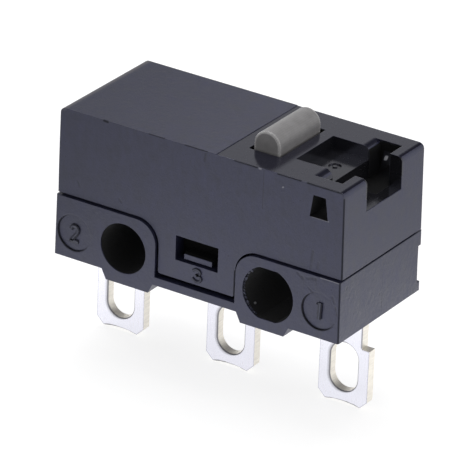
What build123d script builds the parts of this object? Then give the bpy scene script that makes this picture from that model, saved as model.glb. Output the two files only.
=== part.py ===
from build123d import *
import os

os.makedirs("parts", exist_ok=True)

# Subminiature snap-action switch with a pin plunger and solder lugs, in millimetres.
# The origin is halfway between the two mounting holes at mid-thickness. X runs to the
# common-terminal end, Y to the back and Z up to the plunger. Heights start at the hole line.

# Case
case_length = 12.8
case_width = 5.8
sole_height = -1.5             # soles of the feet
foot_height = 0.4
parting_height = 1.4           # top of the base
cover_height = 5.0             # top of the cover
end_draft = 0.04               # the base's ends lean in by this much
cover_draft = 0.07
cover_end_inset = 0.03         # cover's end, behind the foot of the base's end
cover_face_inset = 0.1         # cover's face, behind the base's face
wall = 0.55                    # side walls and top of the cover
end_wall = 0.6                 # end walls of the cover
inner_wall = 0.45              # walls round the lever pocket
parting_groove = 0.08          # open groove along the parting line
groove_depth = 0.15
corner_radius = 0.08           # upright corners of both mouldings
back_corner_radius = 0.2       # upright corners at the cover's back
cover_end_radius = 0.22        # rolled top edge at both ends
insert_line = 0.69             # the top lies a little lower from here to the pocket end
insert_step = 0.02

# Mounting holes
hole_pitch = 6.5
round_hole = 2.05
wide_hole = 2.24               # the hole beside the common terminal is wider than it is tall
wide_hole_height = 2.1

# Feet, number discs and corner relief of the base
foot_inner_reach = 1.37        # from the middle of the mounting hole above
foot_outer_reach = 0.95
foot_taper = 0.2
disc_inset = 0.9               # from the end of the case to the middle of a disc
disc_radius = 0.75
disc_depth = 0.06
relief_length = 0.16
relief_width = 0.24
relief_bottom = -0.75
relief_top = 0.8

# Hole lobes of the base, and the cover's snap flaps between them
lobe_reach = 1.45              # from the middle of the mounting hole to the flap's recess
lobe_radius = 0.9              # upper inner corners of the lobes
flap_bottom = -0.59
flap_gap = 0.08
flap_corner = 0.1
sill_height = -0.77            # edge of the base below the flap
snap_window_width = 1.9
snap_window_bottom = 0.19
snap_window_top = 1.2
latch_width = 1.24
latch_play = 0.09              # between the catch face and the window's lower edge
latch_height = 0.28
latch_lip = 0.2
latch_slope = 0.1              # run of the lead-in above the lip
latch_inset = 0.1              # latch's tip, behind the flap's face
rim_height = 0.7               # locating rim of the base, inside the cover
rim_thickness = 0.35
rim_gap = 0.05

# Lever pocket at the common-terminal end of the cover
pocket_length = 1.61
pocket_width = 2.58
pocket_depth = 0.53
lever_slot_length = 0.92
lever_slot_wall = 0.7          # side walls beside the cross slot
lever_slot_depth = 1.32
end_notch_width = 2.46          # way through the end wall
ear_radius = 0.32
gate_inset = 0.7               # mark of the moulding gate, from the pocket's open edge
gate_radius = 0.25
gate_nub = 0.09
gate_depth = 0.05
lug_window_height = 0.89       # trapezoid windows for the lugs of a lever
lug_window_width = 0.79
lug_window_taper = 0.13

# Plunger
plunger_land = 0.51            # flat between its slot and the lever pocket
plunger_width = 1.14
plunger_depth = 2.86
plunger_rise = 0.78            # above the cover
plunger_edge = 0.07
slot_gap = 0.13                # round the plunger, in the cover
flange_reach = 0.45            # held ends of the plunger, under the cover
flange_height = 0.4
flange_play = 0.02
stem_length = 0.1
rib_radius = 0.32              # rib that presses the leaf
rib_half_length = 0.8
press_gap = 0.02

# Terminals, blanked from flat sheet
terminal_inset = 1.32          # from the end of the case to the middle of an outer lug
sheet = 0.4
neck_width = 1.53
neck_length = 1.48             # below the base
neck_depth = 0.2               # widest part of the neck, inside the base
lug_width = 2.18
lug_height = 2.5
lug_corner = 0.34
lug_hollow = 0.09              # the lower edge is slightly hollow
eyelet_width = 1.21
eyelet_height = 2.01
eyelet_rise = 0.05             # above the lug's shoulders
die_roll = 0.07                # rounded edge where the punch went in
outer_stem_inset = 0.77        # from the cover's inside to the middle of an outer stem
outer_stem_width = 0.6
middle_stem_width = 0.8
arm_height = 0.5               # arms that lie on the floor of the base
closed_arm_height = 0.41       # arm over the moving contact
arm_gap = 0.07                 # between that arm and the cover

# Snap spring and contacts
leaf = 0.1
leaf_width = 2.4
contact_inset = 0.9            # from the outer stem to the moving contact
contact_radius = 0.45
contact_head = 0.25
contact_gap = 0.25             # swing of the moving contact
contact_play = 0.02
contact_end_width = 1.2        # narrow end of the leaf
contact_end_length = 1.5
contact_end_reach = 0.5        # leaf past the moving contact
leaf_shoulder = 0.6            # from the narrow end to the full width
rivet_radius = 0.2
crossbar_width = 0.5
crossbar_length = 1.2
crossbar_height = 0.3
crossbar_edge = 0.08
tongue_width = 1.0
tongue_drop = 1.0
tongue_gap = 0.15              # beside the tongue, in the leaf's window
tongue_inset = 0.94            # from the middle of the plunger to the tongue's tip
window_reach = 0.28            # leaf's window, past the abutment's face
anchor_width = 0.45            # post that anchors the leaf
anchor_rise = 0.35             # above the leaf
anchor_notch = 0.08
anchor_gap = 0.05
strap = 0.25                   # leaf behind the post
strap_gap = 0.15               # between the strap and the cover
abutment_width = 0.45          # post that holds the tongue's tip
abutment_cover = 0.05          # of the tip by the post's notch
abutment_notch = 0.2
abutment_rise = 0.5            # post above the tongue's tip

# Case, worked out from the sizes above
base_half = case_length / 2
base_face = case_width / 2
base_bottom = sole_height + foot_height
cover_half = base_half - cover_end_inset
cover_face = base_face - cover_face_inset
cavity_half = cover_half - end_wall
cavity_face = cover_face - wall
ceiling = cover_height - wall
low_top = cover_height - insert_step
groove_top = parting_height + parting_groove
foot_inner = hole_pitch / 2 - foot_inner_reach
foot_outer = hole_pitch / 2 + foot_outer_reach
disc_place = base_half - disc_inset
recess_half = hole_pitch / 2 - lobe_reach
flap_half = recess_half - flap_gap
lobe_centre = recess_half + lobe_radius
lobe_spring = parting_height - lobe_radius
rim_face = cavity_face - rim_gap
rim_half = cavity_half - rim_gap
latch_catch = snap_window_bottom + latch_play
latch_tip = cover_face - latch_inset
lever_slot_end = cover_half - end_wall
lever_slot_start = lever_slot_end - lever_slot_length
lever_slot_half_width = cover_face - lever_slot_wall
lever_slot_floor = cover_height - lever_slot_depth
lug_window_top = lever_slot_floor + lug_window_height
pocket_start = lever_slot_start - pocket_length
pocket_half_width = pocket_width / 2
pocket_floor = cover_height - pocket_depth
gate_place = lever_slot_start - gate_inset

# Plunger and contacts, from the cover down
plunger_place = pocket_start - plunger_land - slot_gap - plunger_width / 2
plunger_top = cover_height + plunger_rise
flange_top = ceiling - flange_play
flange_bottom = flange_top - flange_height
stem_bottom = flange_bottom - stem_length
closed_arm_top = ceiling - arm_gap
closed_arm_bottom = closed_arm_top - closed_arm_height
closed_face = closed_arm_bottom - crossbar_height
leaf_top = closed_face - contact_play - contact_head
leaf_bottom = leaf_top - leaf
open_face = leaf_bottom - contact_head - contact_play - contact_gap
upright_top = open_face - crossbar_height
rib_bottom = leaf_top + press_gap

# Terminals and snap spring, along the case
terminal_place = base_half - terminal_inset
outer_stem_place = cavity_half - outer_stem_inset
neck_top = base_bottom + neck_depth
shoulder_height = base_bottom - neck_length
lug_end = shoulder_height - lug_height
eyelet_middle = shoulder_height + eyelet_rise - eyelet_height / 2
arm_top = parting_height + arm_height
contact_place = -outer_stem_place + contact_inset
crossbar_left = contact_place - crossbar_width / 2
crossbar_right = contact_place + crossbar_width / 2
contact_end_start = contact_place + contact_end_length
window_start = contact_end_start + leaf_shoulder
window_half_width = tongue_width / 2 + tongue_gap
tongue_tip = plunger_place - tongue_inset
tongue_end = leaf_bottom - tongue_drop
tongue_run = tongue_tip - window_start
tongue_radius = (tongue_run ** 2 + tongue_drop ** 2) / (2 * tongue_drop)
abutment_left = tongue_tip - abutment_cover
abutment_top = tongue_end + abutment_rise
window_end = abutment_left + window_reach
strap_end = lever_slot_start - inner_wall - strap_gap
anchor_right = strap_end - strap
anchor_left = anchor_right - anchor_width
anchor_top = leaf_top + anchor_rise


def add_box(left, right, bottom, top, mode=Mode.ADD):
    """Rectangle given by its edges, in the sketch that is open."""
    with Locations(((left + right) / 2, (bottom + top) / 2)):
        Rectangle(right - left, top - bottom, mode=mode)


def solder_lug(centre):
    """Outline of one lug, from its neck inside the base to its end."""
    left, right = centre - lug_width / 2, centre + lug_width / 2
    neck_left, neck_right = centre - neck_width / 2, centre + neck_width / 2
    with BuildSketch() as lug:
        with BuildLine():
            Polyline(
                (left + lug_corner, lug_end),
                (left, lug_end + lug_corner),
                (left, shoulder_height),
                (neck_left, shoulder_height),
                (neck_left, neck_top),
                (neck_right, neck_top),
                (neck_right, shoulder_height),
                (right, shoulder_height),
                (right, lug_end + lug_corner),
                (right - lug_corner, lug_end),
            )
            ThreePointArc(
                (right - lug_corner, lug_end),
                (centre, lug_end + lug_hollow),
                (left + lug_corner, lug_end),
            )
        make_face()
        with Locations((centre, eyelet_middle)):
            SlotOverall(eyelet_height, eyelet_width, rotation=90, mode=Mode.SUBTRACT)
    return lug.sketch


def rolled_edges(blade):
    """Front edges of a lug's eyelet and of its hollow end."""
    front = blade.faces().sort_by(Axis.Y)[0]
    return front.inner_wires()[0].edges() + front.outer_wire().edges().filter_by(GeomType.CIRCLE)


# Common terminal: stem, arm along the floor, post that anchors the leaf, abutment for the tongue
with BuildPart() as common_terminal:
    with BuildSketch(Plane.XZ):
        add(solder_lug(terminal_place))
        add_box(outer_stem_place - outer_stem_width / 2, outer_stem_place + outer_stem_width / 2,
                neck_top, arm_top)
        add_box(abutment_left, outer_stem_place, parting_height, arm_top)
        add_box(abutment_left, abutment_left + abutment_width, parting_height, abutment_top)
        add_box(anchor_left, anchor_right, parting_height, anchor_top)
        with Locations((anchor_right, leaf_bottom + leaf / 2)):
            Rectangle(2 * anchor_notch, leaf + 2 * press_gap, mode=Mode.SUBTRACT)
        with Locations((abutment_left, tongue_end + leaf / 2)):
            Rectangle(abutment_notch, abutment_notch, rotation=45, mode=Mode.SUBTRACT)
    extrude(amount=sheet / 2, both=True)
    fillet(rolled_edges(common_terminal), die_roll)

# Normally closed terminal: a post with an arm over the moving contact
with BuildPart() as normally_closed_terminal:
    with BuildSketch(Plane.XZ):
        add(solder_lug(-terminal_place))
        add_box(-outer_stem_place - outer_stem_width / 2, -outer_stem_place + outer_stem_width / 2,
                neck_top, closed_arm_top)
        add_box(-outer_stem_place, crossbar_right, closed_arm_bottom, closed_arm_top)
    extrude(amount=sheet / 2, both=True)
    fillet(rolled_edges(normally_closed_terminal), die_roll)

# Normally open terminal: an arm along the floor to an upright below the moving contact
with BuildPart() as normally_open_terminal:
    with BuildSketch(Plane.XZ):
        add(solder_lug(0))
        add_box(-middle_stem_width / 2, middle_stem_width / 2, neck_top, arm_top)
        add_box(crossbar_left, 0, parting_height, arm_top)
        add_box(crossbar_left, crossbar_right, parting_height, upright_top)
    extrude(amount=sheet / 2, both=True)
    fillet(rolled_edges(normally_open_terminal), die_roll)

# Fixed contacts: crossbars welded across the edges of the blades
with BuildPart() as normally_closed_contact:
    with Locations((contact_place, 0, closed_face)):
        Box(crossbar_width, crossbar_length, crossbar_height,
            align=(Align.CENTER, Align.CENTER, Align.MIN))
    fillet(normally_closed_contact.edges().filter_by(Axis.Y).group_by(Axis.Z)[0], crossbar_edge)

with BuildPart() as normally_open_contact:
    with Locations((contact_place, 0, open_face)):
        Box(crossbar_width, crossbar_length, crossbar_height,
            align=(Align.CENTER, Align.CENTER, Align.MAX))
    fillet(normally_open_contact.edges().filter_by(Axis.Y).group_by(Axis.Z)[-1], crossbar_edge)

# Moving contact: a rivet with a head on each side of the leaf
with BuildPart() as moving_contact:
    with BuildSketch(Plane.XY.offset(leaf_bottom - contact_head)):
        with Locations((contact_place, 0)):
            Circle(contact_radius)
    extrude(amount=contact_head)
    with BuildSketch(Plane.XY.offset(leaf_bottom)):
        with Locations((contact_place, 0)):
            Circle(rivet_radius)
    extrude(amount=leaf)
    with BuildSketch(Plane.XY.offset(leaf_top)):
        with Locations((contact_place, 0)):
            Circle(contact_radius)
    extrude(amount=contact_head)

# Snap spring: a flat leaf with a window, and a bowed tongue that pushes on the abutment
with BuildPart() as snap_spring:
    with BuildSketch(Plane.XY.offset(leaf_bottom)):
        with BuildLine():
            Polyline(
                (contact_place - contact_end_reach, -contact_end_width / 2),
                (contact_end_start, -contact_end_width / 2),
                (window_start, -leaf_width / 2),
                (strap_end, -leaf_width / 2),
                (strap_end, leaf_width / 2),
                (window_start, leaf_width / 2),
                (contact_end_start, contact_end_width / 2),
                (contact_place - contact_end_reach, contact_end_width / 2),
                close=True,
            )
        make_face()
        with Locations((contact_place, 0)):
            Circle(rivet_radius, mode=Mode.SUBTRACT)
        add_box(window_start, window_end, -window_half_width, window_half_width, Mode.SUBTRACT)
        add_box(anchor_left - anchor_gap, anchor_right - anchor_notch + press_gap,
                -sheet / 2 - anchor_gap, sheet / 2 + anchor_gap, Mode.SUBTRACT)
    extrude(amount=leaf)
    with BuildSketch(Plane.XZ):
        with BuildLine():
            upper = RadiusArc((window_start, leaf_top), (tongue_tip, tongue_end + leaf), tongue_radius)
            lower = RadiusArc((window_start, leaf_bottom), (tongue_tip, tongue_end), tongue_radius)
            Line(upper @ 0, lower @ 0)
            Line(upper @ 1, lower @ 1)
        make_face()
    extrude(amount=tongue_width / 2, both=True)

# Plunger: a full-round blade in the cover's slot, flanged ends that hold it in, a rib on the leaf
with BuildPart() as plunger:
    with BuildSketch(Plane.XZ):
        with Locations((plunger_place, plunger_top - plunger_width / 2)):
            Circle(plunger_width / 2)
        add_box(plunger_place - plunger_width / 2, plunger_place + plunger_width / 2,
                stem_bottom, plunger_top - plunger_width / 2)
    extrude(amount=plunger_depth / 2, both=True)
    crown = plunger.edges().filter_by(GeomType.CIRCLE)
    sides = plunger.edges().filter_by(Axis.Z)
    fillet(crown + sides, plunger_edge)
    with Locations((plunger_place, 0, flange_bottom)):
        Box(plunger_width, plunger_depth + 2 * flange_reach, flange_height,
            align=(Align.CENTER, Align.CENTER, Align.MIN))
    with BuildSketch(Plane.XZ):
        with Locations((plunger_place, rib_bottom + rib_radius)):
            Circle(rib_radius)
        add_box(plunger_place - rib_radius, plunger_place + rib_radius,
                rib_bottom + rib_radius, flange_bottom)
    extrude(amount=rib_half_length, both=True)

# Base: a drafted block on feet, with two hole lobes and a recess for a flap on each face
with BuildPart() as base:
    with BuildSketch(Plane.XZ):
        with BuildLine():
            Polyline(
                (-base_half, base_bottom),
                (-foot_outer, base_bottom),
                (-foot_outer + foot_taper, sole_height),
                (-foot_inner - foot_taper, sole_height),
                (-foot_inner, base_bottom),
                (foot_inner, base_bottom),
                (foot_inner + foot_taper, sole_height),
                (foot_outer - foot_taper, sole_height),
                (foot_outer, base_bottom),
                (base_half, base_bottom),
                (base_half - end_draft, parting_height),
                (-base_half + end_draft, parting_height),
                close=True,
            )
        make_face()
    extrude(amount=base_face, both=True)
    ends = base.faces().sort_by(Axis.X)
    fillet(ends[0].edges().filter_by(Axis.Y, reverse=True), corner_radius)
    fillet(ends[-1].edges().filter_by(Axis.Y, reverse=True), corner_radius)

    for side in (1, -1):
        with BuildSketch(Plane.XZ.offset(side * base_face)):
            with BuildLine():
                Polyline((-recess_half, lobe_spring), (-recess_half, sill_height),
                         (recess_half, sill_height), (recess_half, lobe_spring))
                RadiusArc((recess_half, lobe_spring), (lobe_centre, parting_height), lobe_radius)
                Line((lobe_centre, parting_height), (-lobe_centre, parting_height))
                RadiusArc((-lobe_centre, parting_height), (-recess_half, lobe_spring), lobe_radius)
            make_face()
        extrude(amount=-side * (base_face - rim_face), mode=Mode.SUBTRACT)

    with BuildSketch(Plane.XY.offset(parting_height)):
        Rectangle(2 * rim_half, 2 * rim_face)
        Rectangle(2 * (rim_half - rim_thickness), 2 * (rim_face - rim_thickness), mode=Mode.SUBTRACT)
    extrude(amount=rim_height)

    # Latches: a flat catch face with a lead-in above it
    with BuildSketch(Plane.YZ):
        with BuildLine():
            Polyline(
                (-rim_face, latch_catch),
                (-latch_tip, latch_catch),
                (-latch_tip, latch_catch + latch_lip),
                (-latch_tip + latch_slope, latch_catch + latch_height),
                (-rim_face, latch_catch + latch_height),
                close=True,
            )
        make_face()
        mirror(about=Plane.YZ)
    extrude(amount=latch_width / 2, both=True)

    # Mounting holes: one round, one wider with a flat above and below
    with BuildSketch(Plane.XZ):
        with Locations((-hole_pitch / 2, 0)):
            Circle(round_hole / 2)
    extrude(amount=base_face, both=True, mode=Mode.SUBTRACT)
    with BuildSketch(Plane.XZ):
        with Locations((hole_pitch / 2, 0)):
            Circle(wide_hole / 2)
            Rectangle(wide_hole, wide_hole_height, mode=Mode.INTERSECT)
    extrude(amount=base_face, both=True, mode=Mode.SUBTRACT)

    with BuildSketch(Plane.XZ.offset(base_face)):
        with Locations((-disc_place, 0), (disc_place, 0)):
            Circle(disc_radius)
    extrude(amount=-disc_depth, mode=Mode.SUBTRACT)

    with Locations((base_half, base_face, relief_bottom)):
        Box(2 * relief_length, 2 * relief_width, relief_top - relief_bottom,
            align=(Align.CENTER, Align.CENTER, Align.MIN), mode=Mode.SUBTRACT)

    # The base is moulded round the terminals
    for terminal in (common_terminal, normally_closed_terminal, normally_open_terminal):
        add(terminal.part, mode=Mode.SUBTRACT)

# Cover: a box with rolled top ends, hollow below
with BuildPart() as cover:
    with BuildSketch(Plane.XY.offset(parting_height)) as cover_plan:
        Rectangle(2 * cover_half, 2 * cover_face)
        corners = cover_plan.vertices().group_by(Axis.Y)
        fillet(corners[0], corner_radius)
        fillet(corners[-1], back_corner_radius)
    extrude(amount=cover_height - parting_height)
    with BuildSketch(Plane.XZ) as cover_profile:
        with BuildLine():
            Polyline(
                (-cover_half, parting_height),
                (cover_half, parting_height),
                (cover_half - cover_draft, low_top),
                (insert_line, low_top),
                (insert_line, cover_height),
                (-cover_half + cover_draft, cover_height),
                close=True,
            )
        make_face()
        corners = cover_profile.vertices().sort_by(Axis.X)
        fillet([corners[1], corners[-2]], cover_end_radius)
    extrude(amount=cover_face, both=True, mode=Mode.INTERSECT)

    # Open groove along the parting line
    with BuildSketch(Plane.XY.offset(parting_height)):
        Rectangle(case_length, case_width)
        Rectangle(2 * (cover_half - groove_depth), 2 * (cover_face - groove_depth), mode=Mode.SUBTRACT)
    extrude(amount=parting_groove, mode=Mode.SUBTRACT)

    # Cavity, stepped down under the lever pocket
    with BuildSketch(Plane.XZ):
        add_box(-cavity_half, pocket_start - inner_wall, parting_height, ceiling)
        add_box(-cavity_half, lever_slot_start - inner_wall, parting_height, pocket_floor - inner_wall)
        add_box(-cavity_half, cavity_half, parting_height, lever_slot_floor - inner_wall)
    extrude(amount=cavity_face, both=True, mode=Mode.SUBTRACT)

    # Flaps, whose upper corners follow the lobes of the base
    for side in (1, -1):
        with BuildSketch(Plane.XZ.offset(side * cover_face)) as flap:
            with BuildLine():
                Polyline((-flap_half, lobe_spring), (-flap_half, flap_bottom),
                         (flap_half, flap_bottom), (flap_half, lobe_spring))
                RadiusArc((flap_half, lobe_spring), (lobe_centre, groove_top),
                          lobe_radius + flap_gap)
                Line((lobe_centre, groove_top), (-lobe_centre, groove_top))
                RadiusArc((-lobe_centre, groove_top), (-flap_half, lobe_spring),
                          lobe_radius + flap_gap)
            make_face()
            fillet(flap.vertices().group_by(Axis.Y)[0], flap_corner)
            add_box(-snap_window_width / 2, snap_window_width / 2, snap_window_bottom, snap_window_top,
                    Mode.SUBTRACT)
        extrude(amount=-side * wall)

    with Locations((plunger_place, 0, ceiling)):
        Box(plunger_width + 2 * slot_gap, plunger_depth + 2 * slot_gap, wall,
            align=(Align.CENTER, Align.CENTER, Align.MIN), mode=Mode.SUBTRACT)

    # Lever pocket, with the mark of the moulding gate on its floor
    with BuildSketch(Plane.XY.offset(cover_height)):
        add_box(pocket_start, lever_slot_end, -pocket_half_width, pocket_half_width)
    extrude(amount=-pocket_depth, mode=Mode.SUBTRACT)
    with BuildSketch(Plane.XY.offset(pocket_floor)):
        with Locations((gate_place, 0)):
            Circle(gate_radius)
            Circle(gate_nub, mode=Mode.SUBTRACT)
    extrude(amount=-gate_depth, mode=Mode.SUBTRACT)

    # Cross slot for the root of a lever, open through the end wall
    with BuildSketch(Plane.XY.offset(cover_height)):
        add_box(lever_slot_start, lever_slot_end, -lever_slot_half_width, lever_slot_half_width)
        add_box(lever_slot_end, cover_half, -end_notch_width / 2, end_notch_width / 2)
    extrude(amount=lever_slot_floor - cover_height, mode=Mode.SUBTRACT)
    slot_edges = cover.edges().filter_by(Axis.Y).filter_by_position(Axis.Z, low_top - 0.01, low_top + 0.01)
    ear_edges = slot_edges.filter_by_position(Axis.X, lever_slot_start - 0.01, lever_slot_start + 0.01)
    fillet(ear_edges, ear_radius)

    # Windows for the lugs of a lever, through both side walls
    with BuildSketch(Plane.XZ):
        with BuildLine():
            Polyline(
                (lever_slot_start, lever_slot_floor),
                (lever_slot_start + lug_window_width, lever_slot_floor),
                (lever_slot_start + lug_window_width - lug_window_taper, lug_window_top),
                (lever_slot_start + lug_window_taper, lug_window_top),
                close=True,
            )
        make_face()
    extrude(amount=cover_face, both=True, mode=Mode.SUBTRACT)

base.part.label = "base"
export_step(base.part, "parts/base.step")
cover.part.label = "cover"
export_step(cover.part, "parts/cover.step")
plunger.part.label = "plunger"
export_step(plunger.part, "parts/plunger.step")
common_terminal.part.label = "common_terminal"
export_step(common_terminal.part, "parts/common_terminal.step")
normally_closed_terminal.part.label = "normally_closed_terminal"
export_step(normally_closed_terminal.part, "parts/normally_closed_terminal.step")
normally_open_terminal.part.label = "normally_open_terminal"
export_step(normally_open_terminal.part, "parts/normally_open_terminal.step")
snap_spring.part.label = "snap_spring"
export_step(snap_spring.part, "parts/snap_spring.step")
moving_contact.part.label = "moving_contact"
export_step(moving_contact.part, "parts/moving_contact.step")
normally_closed_contact.part.label = "normally_closed_contact"
export_step(normally_closed_contact.part, "parts/normally_closed_contact.step")
normally_open_contact.part.label = "normally_open_contact"
export_step(normally_open_contact.part, "parts/normally_open_contact.step")
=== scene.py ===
import math

import bpy
from mathutils import Matrix, Vector


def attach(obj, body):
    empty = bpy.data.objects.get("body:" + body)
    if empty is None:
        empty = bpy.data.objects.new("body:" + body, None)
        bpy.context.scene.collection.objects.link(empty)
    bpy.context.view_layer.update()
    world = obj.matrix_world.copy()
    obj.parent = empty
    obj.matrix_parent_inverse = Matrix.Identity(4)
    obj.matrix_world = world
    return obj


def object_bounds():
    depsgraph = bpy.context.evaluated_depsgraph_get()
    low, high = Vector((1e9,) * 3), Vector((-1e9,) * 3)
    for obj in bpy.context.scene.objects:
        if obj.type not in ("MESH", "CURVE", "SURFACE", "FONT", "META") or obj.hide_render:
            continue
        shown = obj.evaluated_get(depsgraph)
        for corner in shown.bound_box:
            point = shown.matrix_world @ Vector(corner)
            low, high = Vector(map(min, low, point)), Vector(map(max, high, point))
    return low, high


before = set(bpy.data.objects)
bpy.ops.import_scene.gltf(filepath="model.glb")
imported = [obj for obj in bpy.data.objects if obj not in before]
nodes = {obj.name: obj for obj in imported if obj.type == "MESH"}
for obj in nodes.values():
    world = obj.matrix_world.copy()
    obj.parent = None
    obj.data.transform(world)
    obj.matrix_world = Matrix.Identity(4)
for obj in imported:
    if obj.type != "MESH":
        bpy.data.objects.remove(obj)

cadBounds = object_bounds()
mm = 0.001
midNoise, wideNoise = (0.35, 0.65), (0.3, 0.7)    # levels of a noise between which a material changes


def newMaterial(name):
    material = bpy.data.materials.new(name)
    material.use_nodes = True
    tree = material.node_tree
    tree.nodes.clear()
    shader = tree.nodes.new("ShaderNodeBsdfPrincipled")
    output = tree.nodes.new("ShaderNodeOutputMaterial")
    tree.links.new(shader.outputs["BSDF"], output.inputs["Surface"])
    return material, tree, shader


def addNode(tree, kind, settings=None, **inputs):
    # inputs are named sockets, or i0, i1 ... for sockets by their number
    node = tree.nodes.new("ShaderNode" + kind)
    for key, value in (settings or {}).items():
        setattr(node, key, value)
    for key, value in inputs.items():
        socket = node.inputs[int(key[1:]) if key[1:].isdigit() else key]
        if isinstance(value, bpy.types.NodeSocket):
            tree.links.new(value, socket)
        else:
            socket.default_value = value
    return node


def calc(tree, operation, a, b=0.0, c=0.0, clamp=False):
    return addNode(tree, "Math", {"operation": operation, "use_clamp": clamp}, i0=a, i1=b, i2=c).outputs[0]


def vectorCalc(tree, operation, a, b):
    node = addNode(tree, "VectorMath", {"operation": operation}, i0=a, i1=b)
    return node.outputs["Value" if operation in ("DOT_PRODUCT", "DISTANCE") else "Vector"]


def scaled(tree, vector, factor):
    return addNode(tree, "VectorMath", {"operation": "SCALE"}, i0=vector, Scale=factor).outputs["Vector"]


def fromTo(tree, value, low, high, start=0.0, end=1.0):
    # goes from start to end as the value goes from low to high
    return addNode(tree, "MapRange", Value=value, i1=low, i2=high, i3=start, i4=end).outputs[0]


def blendValue(tree, amount, first, second):
    return addNode(tree, "Mix", {"data_type": "FLOAT"}, i0=amount, i2=first, i3=second).outputs[0]


def blendColor(tree, amount, first, second):
    first, second = ((*paint, 1) if isinstance(paint, tuple) else paint for paint in (first, second))
    return addNode(tree, "Mix", {"data_type": "RGBA"}, i0=amount, i6=first, i7=second).outputs[2]


def ramp(tree, value, stops):
    node = addNode(tree, "ValToRGB", Fac=value)
    elements = node.color_ramp.elements
    elements[0].position, elements[-1].position = stops[0][0], stops[-1][0]
    for position, _ in stops[1:-1]:
        elements.new(position)
    for element, (_, color) in zip(elements, stops):
        element.color = (*color, 1)
    return node.outputs["Color"]


def shadedColor(tree, value, color, reach, shades):
    # the colour times the first shade at the low end of the reach, and times the second at its high end
    return ramp(tree, value, [(stop, tuple(Vector(color) * shade)) for stop, shade in zip(reach, shades)])


def noise(tree, place, pattern):
    # scale is in waves per mm
    scale, detail, roughness = pattern
    return addNode(tree, "TexNoise", Vector=place, Scale=scale, Detail=detail, Roughness=roughness).outputs["Fac"]


def strongest(tree, first, *others):
    # the largest of several masks or values
    for mask in others:
        first = calc(tree, "MAXIMUM", mask, first)
    return first


def planeDistance(tree, across, up):
    return calc(tree, "SQRT", calc(tree, "ADD", *(calc(tree, "MULTIPLY", way, way) for way in (across, up))))


def placeInMm(tree):
    return scaled(tree, addNode(tree, "TexCoord").outputs["Object"], 1 / mm)


def parts(tree, vector):
    # its X, Y and Z as sockets
    return addNode(tree, "SeparateXYZ", Vector=vector).outputs


def ownNormal(tree):
    return parts(tree, addNode(tree, "TexCoord").outputs["Normal"])


def roundedNormal(tree, look):
    return addNode(tree, "Bevel", {"samples": look["edgeSamples"]}, Radius=look["edge"]).outputs["Normal"]


def edgeTurn(tree, rounded):
    # 1 on flat faces, less at edges, where the rounded normal leaves the true one
    return vectorCalc(tree, "DOT_PRODUCT", rounded, addNode(tree, "NewGeometry").outputs["True Normal"])


def unevenGloss(tree, value, reach, look):
    # roughness a little below and above its own level, following a noise
    low, high = (look["roughness"] + change for change in look["roughnessSpread"])
    return fromTo(tree, value, *reach, low, high)


def addBump(tree, shader, look, height, strength, **normal):
    bump = addNode(tree, "Bump", Strength=strength, Distance=look["grainDepth"], Height=height, **normal)
    tree.links.new(bump.outputs["Normal"], shader.inputs["Normal"])


def addSheen(shader, look):
    shader.inputs["Specular IOR Level"].default_value = look["sheenLevel"]
    shader.inputs["Specular Tint"].default_value = look["sheenTint"]


def boxMask(tree, axes, low, high, soft=0.02):
    # 1 inside a box given in mm, fading over soft at its faces
    mask = 1.0
    for axis, start, end in zip(axes, low, high):
        middle, half = (start + end) / 2, (end - start) / 2
        off = calc(tree, "ABSOLUTE", calc(tree, "SUBTRACT", axis, middle))
        mask = calc(tree, "MULTIPLY", fromTo(tree, off, half, half + soft, 1.0, 0.0), mask)
    return mask


def strokeMask(tree, place, strokes, core=0.6, fade=1.3):
    # 1 along each stroke (start, end, half width in mm), full to core and gone at fade of its half width
    total = 0.0
    for start, end, width in strokes:
        along = Vector(end) - Vector(start)
        toStart = vectorCalc(tree, "SUBTRACT", place, start)
        dot = vectorCalc(tree, "DOT_PRODUCT", toStart, along)
        share = calc(tree, "DIVIDE", dot, along.length_squared, clamp=True)
        away = vectorCalc(tree, "DISTANCE", toStart, scaled(tree, along, share))
        total = calc(tree, "MAXIMUM", fromTo(tree, away, width * core, width * fade, 1.0, 0.0), total)
    return total


def useMaterial(names, material):
    for name in names:
        mesh = nodes[name].data
        mesh.materials.clear()
        mesh.materials.append(material)


def addToScene(name, data):
    added = bpy.data.objects.new(name, data)
    bpy.context.scene.collection.objects.link(added)
    return added


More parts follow.
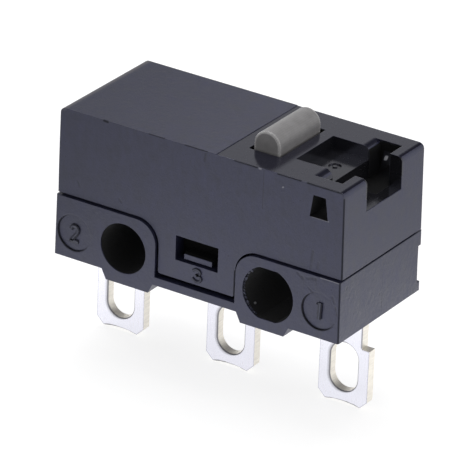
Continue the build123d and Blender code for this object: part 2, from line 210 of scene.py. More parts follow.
# black satin moulding, blue in its sheen, polished inside the openings, with painted shade that makes them blacker
casePlastic = {
    "color": (0.018, 0.019, 0.042),
    "polishedColor": (0.006, 0.006, 0.014),
    # the darker colour inside the openings is painted shade over their real polish
    "insideShadeColor": (0.01, 0.01, 0.012),
    "highlightColor": (0.06, 0.057, 0.06),
    "markAndShadeColor": (0.002, 0.002, 0.003),
    "lightStrokeColor": (0.22, 0.22, 0.25),
    "glintColor": (0.3, 0.3, 0.3),
    "shade": (0.75, 1.1),               # painted shade of the colour, at the left and right of its reach
    "shadeReach": (-6.4, 3.0),          # mm along the case, as the other reaches on X
    "roughness": 0.4,
    "roughnessSpread": (-0.06, 0.08),
    "polishedRoughness": 0.115,
    "markAndShadeRoughness": 0.9,
    "sheenLevel": 0.89,
    "sheenTint": (0.77, 0.79, 1.0, 1.0),
    "sheenShadeShare": (0.2, 0.02),            # share of the sheen that the painted shade on the top's left takes away, left and right
    "sheenShadeReach": (-5.0, 0.6),
    "edge": 0.018 * mm,
    "edgeSamples": 6,
    "grainDepth": 0.05 * mm,
    "bump": 0.22,
    "polishedBump": 0.04,
    "cloud": (1.4, 5.0, 0.65),          # each noise's scale, detail and roughness
    "streak": (4.0, 3.0, 0.6),
    "grain": (13.0, 4.0, 0.65),
    "waves": (5.0, 2.0, 0.5),
    "flowStretch": (1.0, 1.0, 0.4),     # the streaks are drawn out upwards
    "cloudShare": 0.6,                  # of the mottle, the rest is streak
    "mottle": 0.45,
    "speckle": 0.85,                    # darkness of the specks, where grain and cloud are both high
    "speckGrain": (0.6, 0.7),
    "speckCloud": (0.42, 0.6),
    "wear": 1.1,                        # strength of the faint strokes, which the grain breaks up
    "rimLine": (0.015, 0.04),           # mm from a disc's rim at which its painted shadow line thins and ends
    "rimLean": (0.8, 0.6),              # across and up, the way in which the line weakens
    "rimLeanReach": (-0.25, 0.45),
    "rimWeakest": 0.25,
}

# places of the moulding's marks and painted light, in mm: boxes (those of shaded openings with the dark grey of
# their painted shade), strokes with half widths, and the middle and radius of each sunk disc
coverMarks = {
    "inside": [((3.2, -1.3, 4.2), (6.4, 1.3, 4.94)), ((4.82, -2.11, 3.55), (5.78, 2.11, 4.95)),
               ((5.7, -1.24, 3.55), (6.28, 1.24, 4.85)), ((4.8, -2.78, 3.6), (5.8, -2.0, 4.6))],
    # painted shade: the shaded openings' walls get a uniform dark grey as black metal
    "deepShade": [((4.8, 1.3, 3.7), (4.88, 2.12, 4.85), 0.035), ((4.8, 2.09, 3.66), (5.8, 2.78, 4.9), 0.035),
             ((5.75, 1.24, 3.7), (5.8, 2.12, 4.95), 0.035), ((1.3, -1.7, 4.2), (2.8, 1.7, 4.93), 0.02),
             ((4.8, 0.3, 3.6), (5.8, 2.12, 3.72), 0.035), ((4.8, -2.78, 3.6), (5.8, -1.35, 4.6), 0.045)],
    "polished": [((0.71, -2.74, 4.9), (6.2, 2.74, 5.1))],
    # painted shade: the top's left loses part of its sheen
    "topLeftShade": [((-6.0, -2.75, 4.9), (0.68, 2.8, 5.1))],
    # dark strokes: dashes along the top front edge, and painted shadow lines in the flap's right groove, down the
    # right front corner and along the seam at the end
    "dark": [((-4.33, -2.8, 4.97), (-4.16, -2.8, 4.96), 0.055), ((1.7, -2.8, -0.55), (1.7, -2.8, 0.5), 0.035),
             ((-2.3, -2.8, 5.0), (-1.6, -2.8, 5.0), 0.03), ((-0.7, -2.8, 5.0), (0.3, -2.8, 5.0), 0.03),
             ((1.5, -2.8, 4.98), (2.5, -2.8, 4.98), 0.04), ((3.4, -2.8, 4.98), (4.4, -2.8, 4.98), 0.04),
             ((4.7, -2.8, 4.98), (6.15, -2.8, 4.98), 0.05), ((6.35, -2.78, 1.5), (6.29, -2.78, 4.75), 0.04),
             ((6.35, -2.8, 1.45), (6.35, 2.8, 1.45), 0.03)],
    "faint": [((2.81, -2.8, 3.4), (2.81, -2.8, 5.0), 0.025), ((-5.45, -2.8, 2.15), (-5.35, -2.8, 1.95), 0.05),
              ((-3.55, -2.8, 1.95), (-3.45, -2.8, 1.85), 0.05), ((5.0, -2.8, 1.6), (5.06, -2.8, 2.3), 0.06),
              ((5.3, -2.8, 1.7), (5.32, -2.8, 1.9), 0.06), ((0.2, -2.8, 4.6), (0.24, -2.8, 4.9), 0.05)],
    # a painted highlight along the rounded left end of the top
    "paintedHighlight": [((-6.17, -2.7, 5.0), (-6.13, 2.7, 5.0), 0.15)],
    # light strokes: painted highlights along the window's sill, and small light spots near the top front edge
    "lightStrokes": [((3.64, -2.8, 4.49), (3.67, -2.8, 4.51), 0.03), ((2.6, -2.8, 4.96), (2.66, -2.8, 4.96), 0.04),
              ((4.95, -2.8, 3.68), (5.68, -2.8, 3.68), 0.02)],
    "glints": [((4.92, 2.34, 4.16), (4.92, 2.46, 4.1), 0.09)],
    "waviness": 0.5,
}
baseMarks = {
    "inside": [((0.63, -2.74, -0.6), (1.9, -2.57, 1.5)), ((-1.9, -2.74, -0.6), (-0.63, -2.57, 1.5))],
    # painted shade: the shaded openings' walls get a uniform dark grey as black metal
    "deepShade": [((-4.35, -2.84, -1.1), (-2.15, 2.84, 1.1), 0.06), ((2.1, -2.84, -1.1), (4.4, 2.84, 1.1), 0.085),
             ((-1.9, -2.56, -0.8), (1.9, -2.0, 1.5), 0.02), ((-0.7, -2.68, 0.5), (0.7, -2.0, 1.5), 0.02)],
    # dark strokes: painted shadow lines down the front right corner and along the seam at the end
    "dark": [((6.38, -2.88, -1.1), (6.34, -2.88, 1.4), 0.035), ((6.38, -2.9, 1.4), (6.38, 2.9, 1.4), 0.03)],
    "faint": [((6.4, 0.1, -1.0), (6.38, 0.1, 1.3), 0.02), ((5.95, -2.9, 0.6), (6.05, -2.9, 0.3), 0.05),
              ((5.2, -2.9, 0.7), (5.0, -2.9, 0.85), 0.04), ((4.5, -2.9, 1.3), (4.75, -2.9, 1.15), 0.06),
              ((4.95, -2.9, 1.2), (5.3, -2.9, 1.28), 0.06), ((6.05, -2.9, 0.75), (6.15, -2.9, 0.55), 0.06),
              ((6.2, -2.9, 0.35), (6.25, -2.9, 0.1), 0.07), ((6.4, -2.45, 1.0), (6.4, -2.41, 1.06), 0.07),
              ((6.4, -0.1, -0.15), (6.4, -0.06, -0.12), 0.05)],
    # a painted highlight along the lower lip of the parting line
    "lightStrokes": [((5.5, -2.9, 1.38), (6.3, -2.9, 1.38), 0.02)],
    "glints": [((2.42, -2.46, -0.765), (2.44, -2.4, -0.75), 0.045)],
    "rimShadows": [(-5.5, 0.75), (5.5, 0.75)],
    "waviness": 1.3,
}


def rimShadowMask(tree, axes, look, middle, radius):
    # a thin painted shadow line round a sunk disc, strongest at its lower outer side
    across, up = calc(tree, "SUBTRACT", axes["X"], middle), axes["Z"]
    off = calc(tree, "ABSOLUTE", calc(tree, "SUBTRACT", planeDistance(tree, across, up), radius))
    leanAcross, leanUp = look["rimLean"]
    lean = calc(tree, "ADD", calc(tree, "MULTIPLY", across, leanAcross), calc(tree, "MULTIPLY", up, leanUp))
    return calc(tree, "MULTIPLY", fromTo(tree, off, *look["rimLine"], 1.0, 0.0),
                fromTo(tree, lean, *look["rimLeanReach"], 1.0, look["rimWeakest"]))


def mouldedPlastic(name, look, marks):
    material, tree, shader = newMaterial(name)
    place = placeInMm(tree)
    axes = parts(tree, place)
    cloud, grain, waves = (noise(tree, place, look[kind]) for kind in ("cloud", "grain", "waves"))
    streak = noise(tree, vectorCalc(tree, "MULTIPLY", place, look["flowStretch"]), look["streak"])
    mottle = calc(tree, "ADD", calc(tree, "MULTIPLY", cloud, look["cloudShare"]),
                  calc(tree, "MULTIPLY", streak, 1 - look["cloudShare"]))
    inside, polished, topLeftShade = (strongest(tree, 0.0, *(boxMask(tree, axes, *box) for box in marks.get(kind, ())))
                              for kind in ("inside", "polished", "topLeftShade"))
    # each shaded opening's box with the dark grey it is painted, a painted shade
    holes = [(boxMask(tree, axes, low, high), level) for low, high, level in marks["deepShade"]]
    deepShade = strongest(tree, 0.0, *(mask for mask, _ in holes))
    grey = strongest(tree, 0.0, *(calc(tree, "MULTIPLY", mask, level) for mask, level in holes))
    dark, faint, paintedHighlight, lightStroke, glint = (strokeMask(tree, place, marks.get(kind, ()))
                                      for kind in ("dark", "faint", "paintedHighlight", "lightStrokes", "glints"))
    worn = calc(tree, "MULTIPLY", faint, calc(tree, "MULTIPLY", grain, look["wear"]))
    specks = calc(tree, "MULTIPLY", fromTo(tree, grain, *look["speckGrain"], 0.0, look["speckle"]),
                  fromTo(tree, cloud, *look["speckCloud"]))
    rimShadows = (rimShadowMask(tree, axes, look, *rim) for rim in marks.get("rimShadows", ()))
    dark = strongest(tree, dark, worn, specks, *rimShadows)
    deepShade = calc(tree, "MULTIPLY", deepShade, calc(tree, "SUBTRACT", 1.0, glint))

    # colour: mottled skin, painted shade darker to the left and black inside the openings, then the marks, painted
    # shadow lines and highlights among them
    color = shadedColor(tree, mottle, look["color"], midNoise, (1 - look["mottle"], 1 + look["mottle"]))
    paintedLeftShade = fromTo(tree, axes["X"], *look["shadeReach"], *look["shade"])
    color = blendColor(tree, paintedLeftShade, (0, 0, 0), color)
    for mask, paint in ((polished, look["polishedColor"]), (inside, look["insideShadeColor"]), (deepShade, grey),
                        (paintedHighlight, look["highlightColor"]), (dark, look["markAndShadeColor"]), (lightStroke, look["lightStrokeColor"]),
                        (glint, look["glintColor"])):
        color = blendColor(tree, mask, color, paint)
    tree.links.new(color, shader.inputs["Base Color"])

    # gloss: the skin's satin varies with the flow, the punch's faces are polished
    shiny = strongest(tree, inside, polished)
    rough = blendValue(tree, shiny, unevenGloss(tree, mottle, midNoise, look), look["polishedRoughness"])
    rough = strongest(tree, rough, calc(tree, "MULTIPLY", dark, look["markAndShadeRoughness"]), deepShade)
    tree.links.new(rough, shader.inputs["Roughness"])
    # painted shade: the shaded openings count as black metal, which has no sheen, and the top's left loses part of
    # its sheen the same way
    shadedSheen = calc(tree, "MULTIPLY", topLeftShade, fromTo(tree, axes["X"], *look["sheenShadeReach"], *look["sheenShadeShare"]))
    tree.links.new(strongest(tree, deepShade, shadedSheen), shader.inputs["Metallic"])
    addSheen(shader, look)

    relief = calc(tree, "MULTIPLY_ADD", waves, marks["waviness"], calc(tree, "SUBTRACT", grain, dark))
    strength = fromTo(tree, shiny, 0.0, 1.0, look["bump"], look["polishedBump"])
    addBump(tree, shader, look, relief, strength, Normal=roundedNormal(tree, look))
    return material


useMaterial(["cover"], mouldedPlastic("coverPlastic", casePlastic, coverMarks))
useMaterial(["base"], mouldedPlastic("basePlastic", casePlastic, baseMarks))
print("case done")


# warm grey plunger, slightly chalky, with a painted highlight along its rounded edges
plungerPlastic = {
    "color": (0.218, 0.212, 0.215),
    "shades": (0.88, 1.12),
    "paintedEdgeColor": (0.72, 0.71, 0.71),
    "edgeHighlight": (0.998, 0.96),            # turn of an edge at which the painted highlight starts, and where it is full
    "roughness": 0.4,
    "roughnessSpread": (-0.05, 0.05),
    "haze": 0.35,
    "hazeRoughness": 0.25,
    "edge": 0.11 * mm,
    "edgeSamples": 6,
    "cloud": (2.2, 4.0, 0.6),
    "grain": (16.0, 4.0, 0.6),
    "grainDepth": 0.03 * mm,
    "bump": 0.2,
}


def greyPlastic(look):
    material, tree, shader = newMaterial("plungerPlastic")
    place = placeInMm(tree)
    cloud, grain = noise(tree, place, look["cloud"]), noise(tree, place, look["grain"])
    rounded = roundedNormal(tree, look)
    color = shadedColor(tree, cloud, look["color"], wideNoise, look["shades"])
    edgeHighlight = fromTo(tree, edgeTurn(tree, rounded), *look["edgeHighlight"])
    tree.links.new(blendColor(tree, edgeHighlight, color, look["paintedEdgeColor"]), shader.inputs["Base Color"])
    tree.links.new(unevenGloss(tree, cloud, wideNoise, look), shader.inputs["Roughness"])
    shader.inputs["Sheen Weight"].default_value = look["haze"]
    shader.inputs["Sheen Roughness"].default_value = look["hazeRoughness"]
    addBump(tree, shader, look, grain, look["bump"], Normal=rounded)
    return material


useMaterial(["plunger"], greyPlastic(plungerPlastic))
print("plunger done")


# plated sheet: bright faces, cream cut edges, and painted shade along the edges and rolled slopes, round the
# eyelets and on one neck
terminalPlate = {
    "face": (0.75, 0.75, 0.82),
    "faceShades": (0.97, 1.0),
    "faceTurn": (0.9, 0.98),            # how squarely a surface faces front or back to count as a face
    "cut": (0.92, 0.88, 0.8),
    "cutShades": (0.9, 1.04),
    "cutMetal": 0.6,
    # the painted shade's colour on rolled slopes, eyelet rims and the neck
    "roll": (0.29, 0.29, 0.32),
    "rollTurn": ((0.2, 0.35), (0.97, 0.9)),    # slopes between the cut and the face
    "edge": 0.08 * mm,
    "edgeSamples": 4,
    "edgeTurn": (0.995, 0.9),
    "paintedEdgeColor": (0.4, 0.4, 0.45),
    "neckShade": ((5.83, -0.2, -0.9), (5.83, -0.2, -2.5), 0.05),    # a painted shadow stroke with its half width, mm
    "eyeletPitch": 5.08,                # mm, as the eyelet's other sizes
    "eyeletMiddle": -3.535,
    "eyeletStraight": 0.4,
    "eyeletRadius": 0.605,
    "eyeletShade": (0.15, 0.05),        # width of the painted shadow rim, left and right
    "eyeletShadeReach": (-0.3, 0.3),
    "roughness": 0.26,
    "roughnessSpread": (-0.03, 0.03),
    "cutRoughness": 0.42,
    "cloud": (1.6, 3.0, 0.5),
    "lines": (2.0, 3.0, 0.5),
    "lineStretch": (9.0, 9.0, 0.7),     # rolling lines on the faces run upwards
    "shear": (2.0, 2.0, 0.5),
    "shearStretch": (8.0, 1.0, 8.0),    # shear marks on the cut edges run through the sheet
    "grainDepth": 0.02 * mm,
    "bump": 0.06,
}
# the strip's rolling lines run along X
stripFinish = {
    "shades": (0.9, 1.0),
    "roughnessSpread": (-0.06, 0.06),
    "lines": (1.0, 3.0, 0.5),
    "lineStretch": (0.6, 9.0, 9.0),
    "grainDepth": 0.01 * mm,
    "bump": 0.15,
}
springCopper = {**stripFinish, "color": (0.75, 0.5, 0.34), "roughness": 0.3}
contactSilver = {**stripFinish, "color": (0.85, 0.85, 0.86), "roughness": 0.25}


def eyeletShade(tree, axes, look):
    # a painted shadow rim round each eyelet, wider on its left
    pitch, radius = look["eyeletPitch"], look["eyeletRadius"]
    nearest = calc(tree, "SNAP", calc(tree, "ADD", axes["X"], pitch / 2), pitch)
    across = calc(tree, "SUBTRACT", axes["X"], nearest)
    up = calc(tree, "ABSOLUTE", calc(tree, "SUBTRACT", axes["Z"], look["eyeletMiddle"]))
    up = calc(tree, "MAXIMUM", calc(tree, "SUBTRACT", up, look["eyeletStraight"]), 0.0)
    left, right = (radius + width for width in look["eyeletShade"])
    reach = fromTo(tree, across, *look["eyeletShadeReach"], left, right)
    return fromTo(tree, planeDistance(tree, across, up), radius, reach, 1.0, 0.0)


def platedSheet(look):
    material, tree, shader = newMaterial("terminalPlate")
    place = placeInMm(tree)
    cloud = noise(tree, place, look["cloud"])
    lines = noise(tree, vectorCalc(tree, "MULTIPLY", place, look["lineStretch"]), look["lines"])
    shear = noise(tree, vectorCalc(tree, "MULTIPLY", place, look["shearStretch"]), look["shear"])
    facing = calc(tree, "ABSOLUTE", ownNormal(tree)["Y"])
    isFace = fromTo(tree, facing, *look["faceTurn"])
    color = blendColor(tree, isFace, shadedColor(tree, shear, look["cut"], midNoise, look["cutShades"]),
                       shadedColor(tree, cloud, look["face"], wideNoise, look["faceShades"]))

    # painted shade: the sheet darkens along its edges, over the rolled slopes, round the eyelets and on one neck
    edges = fromTo(tree, edgeTurn(tree, roundedNormal(tree, look)), *look["edgeTurn"])
    color = blendColor(tree, calc(tree, "MULTIPLY", edges, isFace), color, look["paintedEdgeColor"])
    rolled = calc(tree, "MULTIPLY", *(fromTo(tree, facing, *turn) for turn in look["rollTurn"]))
    shade = strongest(tree, eyeletShade(tree, parts(tree, place), look),
                      strokeMask(tree, place, [look["neckShade"]]))
    rolled = strongest(tree, rolled, calc(tree, "MULTIPLY", shade, isFace))
    tree.links.new(blendColor(tree, rolled, color, look["roll"]), shader.inputs["Base Color"])

    rough = blendValue(tree, isFace, look["cutRoughness"], unevenGloss(tree, lines, wideNoise, look))
    tree.links.new(rough, shader.inputs["Roughness"])
    tree.links.new(fromTo(tree, isFace, 0.0, 1.0, look["cutMetal"], 1.0), shader.inputs["Metallic"])
    addBump(tree, shader, look, blendValue(tree, isFace, shear, lines), look["bump"])
    return material


def stripMetal(name, look):
    material, tree, shader = newMaterial(name)
    lines = noise(tree, vectorCalc(tree, "MULTIPLY", placeInMm(tree), look["lineStretch"]), look["lines"])
    color = shadedColor(tree, lines, look["color"], wideNoise, look["shades"])
    tree.links.new(color, shader.inputs["Base Color"])
    tree.links.new(unevenGloss(tree, lines, wideNoise, look), shader.inputs["Roughness"])
    shader.inputs["Metallic"].default_value = 1.0
    addBump(tree, shader, look, lines, look["bump"])
    return material


useMaterial(["common_terminal", "normally_closed_terminal", "normally_open_terminal"], platedSheet(terminalPlate))
useMaterial(["snap_spring"], stripMetal("springCopper", springCopper))
useMaterial(["moving_contact", "normally_closed_contact", "normally_open_contact"],
            stripMetal("contactSilver", contactSilver))
print("metals done")


def newTree(name, floats, whole=()):
    # geometry in and out, with named inputs for sizes and whole numbers
    tree = bpy.data.node_groups.new(name, "GeometryNodeTree")
    tree.interface.new_socket("Geometry", in_out="INPUT", socket_type="NodeSocketGeometry")
    for kind, names in (("NodeSocketFloat", floats), ("NodeSocketInt", whole)):
        for socketName in names:
            tree.interface.new_socket(socketName, in_out="INPUT", socket_type=kind)
    tree.interface.new_socket("Geometry", in_out="OUTPUT", socket_type="NodeSocketGeometry")
    return tree, tree.nodes.new, tree.links.new, tree.nodes.new("NodeGroupInput").outputs


def endTree(tree, geometry, material):
    make, link = tree.nodes.new, tree.links.new
    plain, paint = make("GeometryNodeRealizeInstances"), make("GeometryNodeSetMaterial")
    paint.inputs["Material"].default_value = material
    link(geometry, plain.inputs["Geometry"])
    link(plain.outputs["Geometry"], paint.inputs["Geometry"])
    link(paint.outputs["Geometry"], make("NodeGroupOutput").inputs["Geometry"])


def grownMesh(data, tree, sizes):
    # the tree runs on a passing object, of which only the mesh is kept
    holder = addToScene(data.name, data)
    maker = holder.modifiers.new("maker", "NODES")
    maker.node_group = tree
    for item in tree.interface.items_tree:
        if item.in_out == "INPUT" and item.name in sizes:
            maker[item.identifier] = sizes[item.name]
    mesh = bpy.data.meshes.new_from_object(holder.evaluated_get(bpy.context.evaluated_depsgraph_get()))
    bpy.data.objects.remove(holder)
    return mesh


def standUp(mesh, place, lift=0.0):
    # upright on the front face, at a place in mm
    mesh.transform(Matrix.Translation(Vector(place) * mm) @ Matrix.Rotation(math.pi / 2, 4, "X")
                   @ Matrix.Translation((0, 0, lift)))


# raised terminal numbers: a stroke with sloping sides swept along each number's lines
numerals = {
    "strokeTop": 0.1 * mm,
    "strokeFoot": 0.18 * mm,
    "rise": 0.045 * mm,
    "sink": 0.02 * mm,
    "lap": 0.002 * mm,                  # lift of a number's second line over its first
    "curveSteps": 8,
    "topColor": (0.017, 0.019, 0.034),
    "topShades": (0.85, 1.15),
    "sideShadeColor": (0.002, 0.002, 0.003),
    "sideTurn": (0.98, 0.9),
    "lean": 0.7,                        # sides facing right, and up by this share, get the painted shade
    "leanReach": (-0.3, 0.2),
    "leanShades": (0.3, 1.0),
    "roughness": 0.4,
    "sideRoughness": 0.8,
    "grain": (13.0, 4.0, 0.5),
}
# lines of each number in its own height, corners marked sharp, then where its middle stands in mm
numberLines = {
    "number_1": {"lines": [[(-0.14, 0.33, 1), (0.05, 0.46, 1)], [(0.06, 0.52, 1), (0.0, -0.5, 1)]],
                 "height": 0.66, "stroke": 1.0, "place": (5.5, -2.84, 0.0)},
    "number_2": {"lines": [[(-0.25, 0.24, 0), (-0.16, 0.44, 0), (0.02, 0.5, 0), (0.21, 0.4, 0), (0.22, 0.15, 0),
                            (0.02, -0.15, 0), (-0.22, -0.45, 1), (-0.26, -0.5, 1), (-0.2, -0.5, 1),
                            (0.28, -0.5, 1)]],
                 "height": 0.64, "stroke": 0.95, "place": (-5.5, -2.84, -0.04)},
    "number_3": {"lines": [[(-0.36, 0.34, 0), (-0.05, 0.5, 0), (0.3, 0.3, 0), (0.12, 0.07, 0), (-0.06, 0.04, 1),
                            (0.18, 0.0, 0), (0.38, -0.22, 0), (0.04, -0.5, 0), (-0.4, -0.3, 0)]],
                 "height": 0.5, "stroke": 0.6, "place": (0.04, -2.79, -0.19)},
}


def numberPlastic(look):
    material, tree, shader = newMaterial("numberPlastic")
    normal = ownNormal(tree)
    facing = calc(tree, "ABSOLUTE", normal["Y"])
    lean = calc(tree, "ADD", normal["X"], calc(tree, "MULTIPLY", normal["Z"], look["lean"]))
    # painted shade on the sides facing right and up
    side = calc(tree, "MULTIPLY", fromTo(tree, facing, *look["sideTurn"]),
                fromTo(tree, lean, *look["leanReach"], *look["leanShades"]))
    grain = noise(tree, placeInMm(tree), look["grain"])
    top = shadedColor(tree, grain, look["topColor"], wideNoise, look["topShades"])
    tree.links.new(blendColor(tree, side, top, look["sideShadeColor"]), shader.inputs["Base Color"])
    rough = fromTo(tree, side, 0.0, 1.0, look["roughness"], look["sideRoughness"])
    tree.links.new(rough, shader.inputs["Roughness"])
    addSheen(shader, casePlastic)
    return material


def strokeTree(material):
    tree, make, link, given = newTree("numberStroke", ("Top Width", "Foot Width", "Rise"))
    profile = make("GeometryNodeCurvePrimitiveQuadrilateral")
    profile.mode = "TRAPEZOID"
    profile.inputs["Offset"].default_value = 0
    for size, socket in (("Foot Width", "Bottom Width"), ("Top Width", "Top Width"), ("Rise", "Height")):
        link(given[size], profile.inputs[socket])
    sweep = make("GeometryNodeCurveToMesh")
    sweep.inputs["Fill Caps"].default_value = True
    link(given["Geometry"], sweep.inputs["Curve"])
    link(profile.outputs["Curve"], sweep.inputs["Profile Curve"])
    endTree(tree, sweep.outputs["Mesh"], material)
    return tree


def numberCurve(name, number, look):
    curve = bpy.data.curves.new(name, "CURVE")
    curve.dimensions = "3D"
    curve.twist_mode = "Z_UP"
    size = number["height"] * mm
    for order, points in enumerate(number["lines"]):
        spline = curve.splines.new("BEZIER")
        spline.resolution_u = look["curveSteps"]
        spline.bezier_points.add(len(points) - 1)
        for point, (across, up, sharp) in zip(spline.bezier_points, points):
            point.co = (across * size, up * size, order * look["lap"])
            point.handle_left_type = point.handle_right_type = "VECTOR" if sharp else "AUTO"
    return curve


numberTree = strokeTree(numberPlastic(numerals))
for name, number in numberLines.items():
    widths = {"Top Width": numerals["strokeTop"] * number["stroke"],
              "Foot Width": numerals["strokeFoot"] * number["stroke"],
              "Rise": numerals["rise"] + numerals["sink"]}
    mesh = grownMesh(numberCurve(name + "Line", number, numerals), numberTree, widths)
    standUp(mesh, number["place"], (numerals["rise"] - numerals["sink"]) / 2)    # foot just inside the plastic
    piece = addToScene(name, mesh)
    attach(piece, "case")
print("numbers done")


# ragged flash the cutter left round the near side of the wide hole's rim
rimFlash = {
    "place": (3.25, -2.81, 0.0),        # mm
    "Radius": 1.1 * mm,
    "Start": math.radians(128),
    "Sweep": math.radians(112),
    "Chips": 30,
    "Smallest": 0.03 * mm,
    "Largest": 0.08 * mm,
    "Seed": 4,
    "arcSteps": 64,
    "chip": {"Vertices": 5, "Radius Top": 0.35, "Radius Bottom": 1.0, "Depth": 1.2},
    "color": (0.035, 0.037, 0.055),
    "shades": (0.5, 1.5),
    "grain": (13.0, 4.0, 0.5),
    "roughness": 0.45,
}


def flashPlastic(look):
    material, tree, shader = newMaterial("flashPlastic")
    grain = noise(tree, placeInMm(tree), look["grain"])
    color = shadedColor(tree, grain, look["color"], wideNoise, look["shades"])
    tree.links.new(color, shader.inputs["Base Color"])
    shader.inputs["Roughness"].default_value = look["roughness"]
    addSheen(shader, casePlastic)
    return material


def flashTree(look, material):
    # small cones scattered along an arc, each turned and scaled at random
    tree, make, link, given = newTree("rimFlash", ("Radius", "Start", "Sweep", "Smallest", "Largest"),
                                      ("Chips", "Seed"))
    arc = make("GeometryNodeCurveArc")
    arc.inputs["Resolution"].default_value = look["arcSteps"]
    for size, socket in (("Radius", "Radius"), ("Start", "Start Angle"), ("Sweep", "Sweep Angle")):
        link(given[size], arc.inputs[socket])
    points = make("GeometryNodeCurveToPoints")
    link(arc.outputs["Curve"], points.inputs["Curve"])
    link(given["Chips"], points.inputs["Count"])
    chip = make("GeometryNodeMeshCone")
    for socket, value in look["chip"].items():
        chip.inputs[socket].default_value = value
    scale, turn = make("FunctionNodeRandomValue"), make("FunctionNodeRandomValue")
    link(given["Smallest"], scale.inputs[2])
    link(given["Largest"], scale.inputs[3])
    turn.data_type = "FLOAT_VECTOR"
    turn.inputs[1].default_value = (math.tau,) * 3
    for draw in (scale, turn):
        link(given["Seed"], draw.inputs["Seed"])
    spread = make("GeometryNodeInstanceOnPoints")
    link(points.outputs["Points"], spread.inputs["Points"])
    link(chip.outputs["Mesh"], spread.inputs["Instance"])
    link(turn.outputs[0], spread.inputs["Rotation"])
    link(scale.outputs[1], spread.inputs["Scale"])
    endTree(tree, spread.outputs["Instances"], material)
    return tree


mesh = grownMesh(bpy.data.meshes.new("rimFlashMaker"), flashTree(rimFlash, flashPlastic(rimFlash)), rimFlash)
standUp(mesh, rimFlash["place"])
piece = addToScene("rim_flash", mesh)
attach(piece, "case")
print("rim flash done")


# floor and world are white to the camera, and light the part at a plain level
studio = {
    "floorGap": 0.03 * mm,
    "floorSize": 1.5,                   # half its side, in metres
    "floorColor": 0.35,
    "floorRoughness": 0.9,
    "floorGlow": 0.78,
    # the floor's glow in reflections, as mm beside the part and level
    "nearGlow": [(0, 1.28), (2, 1.32), (4, 1.45), (5.5, 1.72), (7.5, 1.68), (10, 0.98), (16, 0.75), (22, 0.53),
                 (34, 0.5)],
    "sidewise": 1.8,                    # the glow changes faster beside the part's ends
    "worldLight": 0.45,
    "skyLow": 0.82,
    "skyHigh": 0.08,
    "skyFade": (0.3, 0.6),
}
lamps = {                               # places and sizes in metres, power in watts
    "overhead": {"place": (-0.08, 0.1, 0.4), "size": 0.3, "power": 0.8},
    "right": {"place": (0.4, 0.05, 0.16), "size": 0.3, "power": 0.45},
    "front": {"place": (-0.1, -0.4, 0.2), "size": 0.3, "power": 0.15},
    "left": {"place": (-0.4, 0.12, 0.06), "size": 0.2, "power": 0.5},
}
view = {                                # angles in degrees, distance, aim and clip in metres, the rest in mm
    "azimuth": 32.18,
    "elevation": 25.64,
    "roll": 2.27,
    "distance": 0.192,
    "aim": (-0.074 * mm, 0.09 * mm, 0.276 * mm),
    "lens": 385.2,
    "sensor": 36,
    "clip": (0.005, 10),
}


def rayKinds(tree):
    # whether the camera looks, and whether any ray does that sees the background
    path = addNode(tree, "LightPath").outputs
    seen = calc(tree, "ADD", path["Is Camera Ray"], path["Is Glossy Ray"])
    return path["Is Camera Ray"], calc(tree, "ADD", seen, path["Is Transmission Ray"], clamp=True)


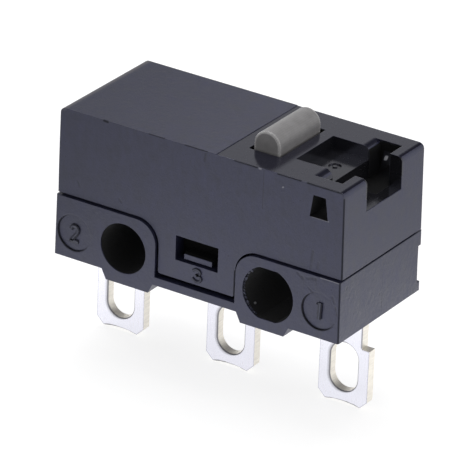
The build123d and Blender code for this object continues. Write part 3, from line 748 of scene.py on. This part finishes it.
def paleFloor(look, partCorner):
    material, tree, shader = newMaterial("paleFloor")
    shader.inputs["Base Color"].default_value = (look["floorColor"],) * 3 + (1,)
    shader.inputs["Roughness"].default_value = look["floorRoughness"]
    shader.inputs["Specular IOR Level"].default_value = 0.0
    shader.inputs["Emission Color"].default_value = (1, 1, 1, 1)
    axes = parts(tree, addNode(tree, "TexCoord").outputs["Object"])
    beside = []
    for axis, reach, pace in zip(("X", "Y"), partCorner, (look["sidewise"], 1.0)):
        past = calc(tree, "MULTIPLY_ADD", calc(tree, "ABSOLUTE", axes[axis]), pace, -reach * pace)
        beside.append(calc(tree, "MAXIMUM", past, 0.0))
    farthest, brightest = look["nearGlow"][-1][0], 2.0    # a ramp's colours stay under 1
    share = calc(tree, "DIVIDE", planeDistance(tree, *beside), farthest * mm)
    glow = ramp(tree, share, [(far / farthest, (level / brightest,) * 3) for far, level in look["nearGlow"]])
    byCamera, seen = rayKinds(tree)
    glow = blendValue(tree, byCamera, calc(tree, "MULTIPLY", glow, brightest), 1.0)
    glow = calc(tree, "MULTIPLY", glow, calc(tree, "MULTIPLY", seen, look["floorGlow"]))
    tree.links.new(glow, shader.inputs["Emission Strength"])
    return material


lowCorner, highCorner = cadBounds
side, ground = studio["floorSize"], lowCorner[2] - studio["floorGap"]
floorMesh = bpy.data.meshes.new("floor")
floorMesh.from_pydata([(-side, -side, ground), (side, -side, ground), (side, side, ground), (-side, side, ground)],
                      [], [(0, 1, 2, 3)])
floorMesh.materials.append(paleFloor(studio, highCorner))
floor = addToScene("floor", floorMesh)

world = bpy.data.worlds.new("studio")
bpy.context.scene.world = world
world.use_nodes = True
tree = world.node_tree
upward = parts(tree, addNode(tree, "TexCoord").outputs["Generated"])["Z"]
sky = fromTo(tree, upward, *studio["skyFade"], studio["skyLow"], studio["skyHigh"])
byCamera, seen = rayKinds(tree)
strength = blendValue(tree, seen, studio["worldLight"], blendValue(tree, byCamera, sky, 1.0))
background = tree.nodes["Background"].inputs
background["Color"].default_value = (1, 1, 1, 1)
tree.links.new(strength, background["Strength"])

for name, lamp in lamps.items():
    light = bpy.data.lights.new(name, "AREA")
    light.shape = "SQUARE"
    light.size, light.energy = lamp["size"], lamp["power"]
    facingPart = Vector(lamp["place"]).to_track_quat("Z", "Y").to_matrix().to_4x4()
    addToScene(name, light).matrix_world = Matrix.Translation(lamp["place"]) @ facingPart
print("studio done")

turned = (Matrix.Rotation(math.radians(view["azimuth"]), 4, "Z")
          @ Matrix.Rotation(math.radians(90 - view["elevation"]), 4, "X")
          @ Matrix.Rotation(math.radians(view["roll"]), 4, "Z"))
cameraData = bpy.data.cameras.new("camera")
cameraData.lens, cameraData.sensor_width = view["lens"], view["sensor"]
cameraData.clip_start, cameraData.clip_end = view["clip"]
camera = addToScene("camera", cameraData)
camera.matrix_world = Matrix.Translation(Vector(view["aim"]) + turned @ Vector((0, 0, view["distance"]))) @ turned
bpy.context.scene.camera = camera
bpy.context.scene.view_settings.view_transform = "Standard"
print("camera done")
